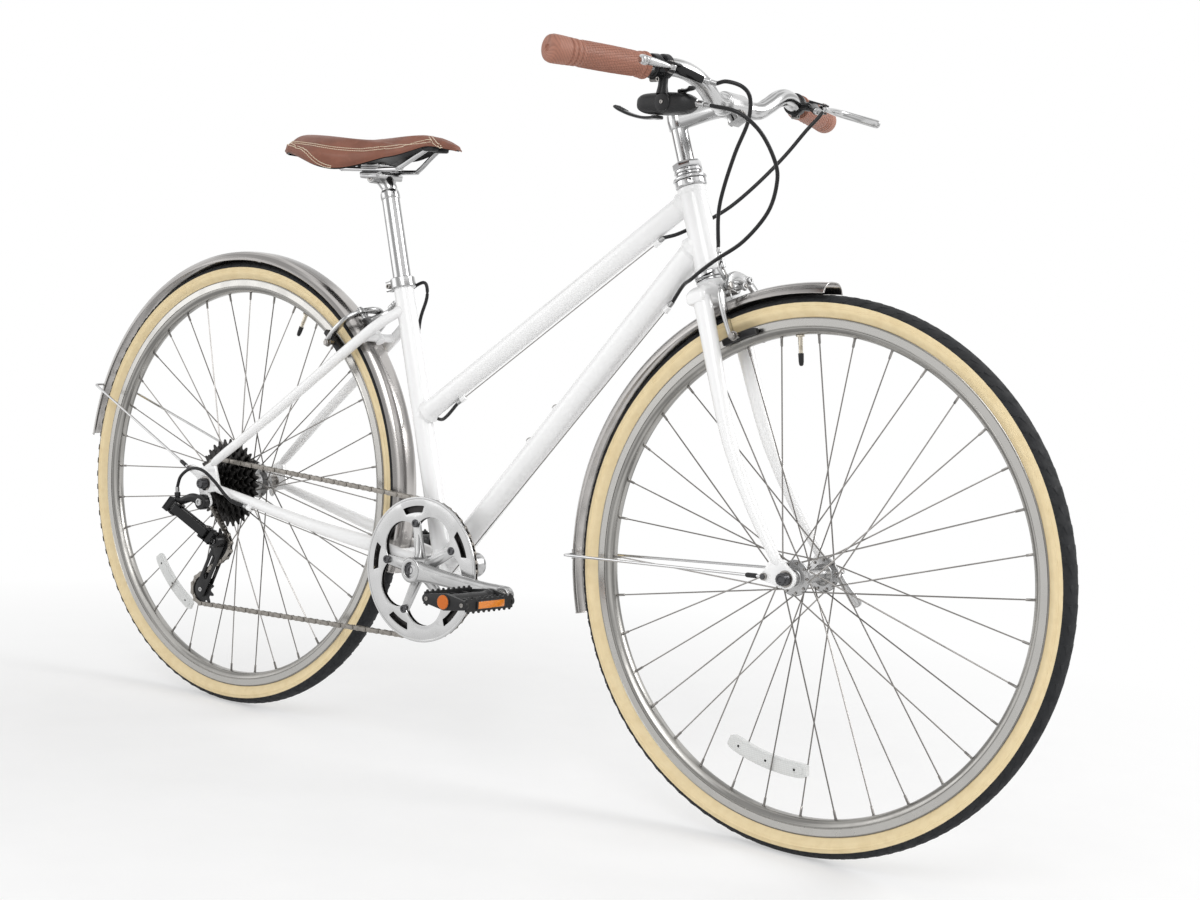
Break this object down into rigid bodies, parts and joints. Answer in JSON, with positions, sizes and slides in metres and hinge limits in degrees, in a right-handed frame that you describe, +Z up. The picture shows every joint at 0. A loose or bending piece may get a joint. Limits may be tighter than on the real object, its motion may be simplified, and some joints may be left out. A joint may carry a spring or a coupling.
{
  "type": "city bicycle",
  "caption": "Low-step city bicycle with sloping tubes, rim brakes, swept bars, metal fenders, a guarded chainring and a derailleur drive.",
  "frame": {"origin": "centre of the bounding box at the floor under the tyres", "axes": "+X forwards, +Y to the rider's left, +Z up"},
  "size_m": [1.733, 0.6344, 0.9609],
  "materials": {
    "frame_paint": "gloss white paint",
    "alloy": "polished",
    "steel": "chromed",
    "black": "satin black",
    "black_steel": "black oxide on steel",
    "thread": "pale waxed thread",
    "tyre_wall": "cream side wall",
    "amber": "amber reflex lens",
    "grip": "grained brown",
    "tyre": "matt",
    "housing": "gloss black sleeve",
    "saddle": "brown, with pale double seams",
    "chain": "oiled",
    "lens": "clear reflex lens"
  },
  "bodies": {
    "frame": {"frame": "frame_paint", "head_cup_upper": "steel", "seat_clamp": "alloy", "rear_fender": "alloy", "rear_fender_stay": "alloy", "rear_axle": "steel", "chain": "chain", "rear_brake_front_housing": "housing", "rear_brake_cable": "housing", "shift_front_housing": "housing", "shift_cable": "housing"},
    "steering": {"fork": "frame_paint", "headset_locknut": "steel", "stem": "alloy", "handlebar": "alloy", "grip_right": "grip", "grip_left": "grip", "brake_bracket_right": "black", "brake_bracket_left": "black", "shifter_body": "black", "front_fender": "alloy", "front_fender_stay": "alloy", "front_axle": "steel", "front_brake_housing": "housing"},
    "front_wheel": {"front_tyre": "tyre", "front_rim": "alloy", "front_hub_and_spokes": "steel", "front_reflector": "lens"},
    "rear_wheel": {"rear_tyre": "tyre", "rear_rim": "alloy", "rear_hub_and_spokes": "steel", "rear_reflector": "lens"},
    "crankset": {"chainring": "alloy", "chain_guard": "alloy", "right_crank": "alloy", "left_crank": "alloy", "crank_axle": "steel"},
    "freewheel": {"cassette": "black_steel"},
    "right_pedal": {"right_pedal": "black"},
    "left_pedal": {"left_pedal": "black"},
    "right_lever": {"brake_lever_right": "steel"},
    "left_lever": {"brake_lever_left": "steel"},
    "front_centre_arm": {"front_caliper_centre_arm": "alloy"},
    "front_side_arm": {"front_caliper_side_arm": "alloy"},
    "rear_centre_arm": {"rear_caliper_centre_arm": "alloy"},
    "rear_side_arm": {"rear_caliper_side_arm": "alloy"},
    "thumb_lever": {"thumb_lever": "black"},
    "release_trigger": {"release_trigger": "black"},
    "derailleur": {"derailleur_body": "black"},
    "outer_link": {"outer_link": "steel"},
    "inner_link": {"inner_link": "steel"},
    "pulley_knuckle": {"p_knuckle": "black"},
    "cage": {"cage": "black"},
    "guide_pulley": {"guide_pulley": "black"},
    "tension_pulley": {"tension_pulley": "black"},
    "front_qr": {"front_qr_lever": "steel"},
    "rear_qr": {"rear_qr_lever": "steel"},
    "seat": {"seatpost": "alloy", "saddle": "saddle", "saddle_rails": "steel"}
  },
  "joints": [
    {"name": "steering_turn", "type": "hinge", "parent": "frame", "child": "steering", "pos_m": [0.3388, 0, 0.70978], "axis": [-0.3371, 0, 0.9415], "range_deg": [-50, 50], "deforming": ["rear_brake_front_housing", "shift_front_housing"]},
    {"name": "front_wheel_spin", "type": "hinge", "parent": "steering", "child": "front_wheel", "pos_m": [0.52146, 0, 0.345], "axis": [0, 1, 0], "continuous": true},
    {"name": "rear_wheel_spin", "type": "hinge", "parent": "frame", "child": "rear_wheel", "pos_m": [-0.50914, 0, 0.345], "axis": [0, 1, 0], "continuous": true},
    {"name": "crank_turn", "type": "hinge", "parent": "frame", "child": "crankset", "pos_m": [-0.07473, 0, 0.272], "axis": [0, 1, 0], "continuous": true, "deforming": ["chain"]},
    {"name": "freewheel_turn", "type": "hinge", "parent": "frame", "child": "freewheel", "pos_m": [-0.50914, 0, 0.345], "axis": [0, 1, 0], "continuous": true},
    {"name": "right_pedal_spin", "type": "hinge", "parent": "crankset", "child": "right_pedal", "pos_m": [0.09495, -0.139, 0.26162], "axis": [0, 1, 0], "continuous": true},
    {"name": "left_pedal_spin", "type": "hinge", "parent": "crankset", "child": "left_pedal", "pos_m": [-0.24442, 0.139, 0.28238], "axis": [0, 1, 0], "continuous": true},
    {"name": "right_lever_pull", "type": "hinge", "parent": "steering", "child": "right_lever", "pos_m": [0.38042, -0.176, 0.93996], "axis": [-0.2531, 0, -0.9674], "range_deg": [0, 20], "stiffness_Nm_per_rad": 0.4, "springref_deg": -8.59, "deforming": ["front_brake_housing"]},
    {"name": "left_lever_pull", "type": "hinge", "parent": "steering", "child": "left_lever", "pos_m": [0.38042, 0.176, 0.93996], "axis": [0.2531, 0, 0.9674], "range_deg": [0, 20], "stiffness_Nm_per_rad": 0.4, "springref_deg": -8.59, "deforming": ["rear_brake_cable"]},
    {"name": "front_centre_arm_turn", "type": "hinge", "parent": "steering", "child": "front_centre_arm", "pos_m": [0.38382, 0, 0.69085], "axis": [0.9415, 0, 0.3371], "range_deg": [0, 2.2]},
    {"name": "front_side_arm_turn", "type": "hinge", "parent": "steering", "child": "front_side_arm", "pos_m": [0.38079, 0.019, 0.69932], "axis": [-0.9415, 0, -0.3371], "range_deg": [0, 1.95]},
    {"name": "rear_centre_arm_turn", "type": "hinge", "parent": "frame", "child": "rear_centre_arm", "pos_m": [-0.25973, 0, 0.61567], "axis": [-0.6656, 0, 0.7463], "range_deg": [0, 2.2]},
    {"name": "rear_side_arm_turn", "type": "hinge", "parent": "frame", "child": "rear_side_arm", "pos_m": [-0.25301, -0.019, 0.62167], "axis": [0.6656, 0, -0.7463], "range_deg": [0, 2.2]},
    {"name": "thumb_lever_push", "type": "hinge", "parent": "steering", "child": "thumb_lever", "pos_m": [0.33542, -0.135, 0.88676], "axis": [0, 0, -1], "range_deg": [0, 30], "stiffness_Nm_per_rad": 0.1, "springref_deg": -5.73},
    {"name": "release_trigger_pull", "type": "hinge", "parent": "steering", "child": "release_trigger", "pos_m": [0.37142, -0.137, 0.91746], "axis": [0, 0, -1], "range_deg": [0, 15], "stiffness_Nm_per_rad": 0.1, "springref_deg": -5.73},
    {"name": "derailleur_hang", "type": "hinge", "parent": "frame", "child": "derailleur", "pos_m": [-0.50514, -0.0705, 0.317], "axis": [0, 1, 0], "range_deg": [0, 18], "stiffness_Nm_per_rad": 2, "springref_deg": -20.05, "deforming": ["shift_cable"]},
    {"name": "outer_link_swing", "type": "hinge", "parent": "derailleur", "child": "outer_link", "pos_m": [-0.54793, -0.09697, 0.30211], "axis": [0.4234, 0.327, 0.8449], "range_deg": [-14, 20], "stiffness_Nm_per_rad": 3},
    {"name": "inner_link_swing", "type": "hinge", "parent": "derailleur", "child": "inner_link", "pos_m": [-0.55449, -0.08308, 0.30002], "axis": [0.4234, 0.327, 0.8449], "range_deg": [-14, 20]},
    {"name": "knuckle_swing", "type": "hinge", "parent": "outer_link", "child": "pulley_knuckle", "pos_m": [-0.49986, -0.07894, 0.27104], "axis": [0.4234, 0.327, 0.8449], "range_deg": [-20, 14]},
    {"name": "cage_swing", "type": "hinge", "parent": "pulley_knuckle", "child": "cage", "pos_m": [-0.49114, -0.045, 0.258], "axis": [0, 1, 0], "range_deg": [-25, 25], "stiffness_Nm_per_rad": 2},
    {"name": "guide_pulley_spin", "type": "hinge", "parent": "cage", "child": "guide_pulley", "pos_m": [-0.49774, -0.045, 0.25], "axis": [0, 1, 0], "continuous": true},
    {"name": "tension_pulley_spin", "type": "hinge", "parent": "cage", "child": "tension_pulley", "pos_m": [-0.53216, -0.045, 0.17613], "axis": [0, 1, 0], "continuous": true},
    {"name": "front_qr_open", "type": "hinge", "parent": "steering", "child": "front_qr", "pos_m": [0.52146, 0.0693, 0.345], "axis": [0.829, 0, 0.5593], "range_deg": [0, 160]},
    {"name": "rear_qr_open", "type": "hinge", "parent": "frame", "child": "rear_qr", "pos_m": [-0.50914, 0.0868, 0.345], "axis": [0.5101, 0, -0.8601], "range_deg": [0, 160]},
    {"name": "seat_height", "type": "slide", "parent": "frame", "child": "seat", "axis": [-0.2857, 0, 0.9583], "range_m": [-0.12, 0.06]}
  ],
  "couplings": [
    {"joint": "freewheel_turn", "follows": "crank_turn", "ratio": 2.6667},
    {"joint": "guide_pulley_spin", "follows": "crank_turn", "ratio": -4.3636},
    {"joint": "tension_pulley_spin", "follows": "crank_turn", "ratio": 4.3636},
    {"joint": "front_centre_arm_turn", "follows": "right_lever_pull", "ratio": 0.104},
    {"joint": "front_side_arm_turn", "follows": "right_lever_pull", "ratio": 0.092},
    {"joint": "rear_centre_arm_turn", "follows": "left_lever_pull", "ratio": 0.104},
    {"joint": "rear_side_arm_turn", "follows": "left_lever_pull", "ratio": 0.092},
    {"joint": "inner_link_swing", "follows": "outer_link_swing", "ratio": 1},
    {"joint": "knuckle_swing", "follows": "outer_link_swing", "ratio": -1}
  ]
}
